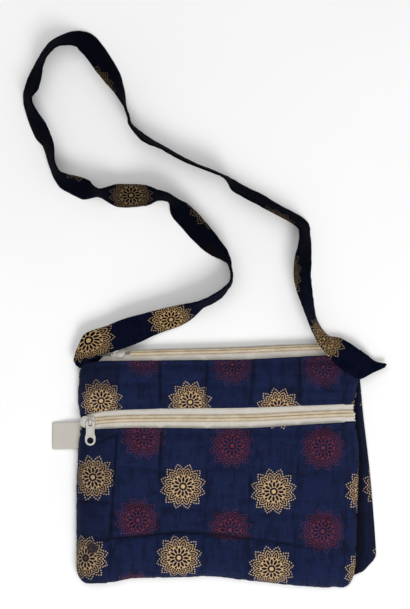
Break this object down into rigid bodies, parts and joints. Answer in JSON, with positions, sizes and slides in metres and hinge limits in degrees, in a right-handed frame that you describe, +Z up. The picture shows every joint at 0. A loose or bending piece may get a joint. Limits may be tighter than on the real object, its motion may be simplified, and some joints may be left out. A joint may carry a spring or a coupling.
{
  "type": "quilted crossbody utility bag",
  "caption": "Flat quilted cotton crossbody bag lying on its back, with a zipped mouth, a zipped front pocket and a fabric strap laid in a loop.",
  "frame": {"origin": "on the resting face of the back panel, under the middle of the bag", "axes": "+X to the bag's right as it lies, +Y towards its top zip and strap, +Z up from the surface"},
  "size_m": [0.3204, 0.5031, 0.0259],
  "materials": {
    "quilted_cotton": "matt printed cotton",
    "strap_cotton": "matt printed cotton",
    "zip_tape": "woven tape",
    "zip_coil": "satin nylon",
    "zip_enamel": "off-white enamel",
    "label": "woven label"
  },
  "bodies": {
    "bag": {"back_panel": "quilted_cotton", "pocket_panel": "quilted_cotton", "front_yoke": "quilted_cotton", "front_tape_lower": "zip_tape", "front_tape_upper": "zip_tape", "front_coil": "zip_coil", "top_tape_front": "zip_tape", "top_tape_back": "zip_tape", "top_coil": "zip_coil", "front_slider": "zip_enamel", "top_slider": "zip_enamel", "top_pull": "zip_enamel", "strap": "strap_cotton", "side_tag": "label"},
    "pull": {"front_pull": "zip_enamel"}
  },
  "joints": [
    {"name": "pull_hinge", "type": "hinge", "parent": "bag", "child": "pull", "pos_m": [-0.1136, 0.0427, 0.0161], "axis": [-1, 0, 0], "range_deg": [0, 165]}
  ]
}
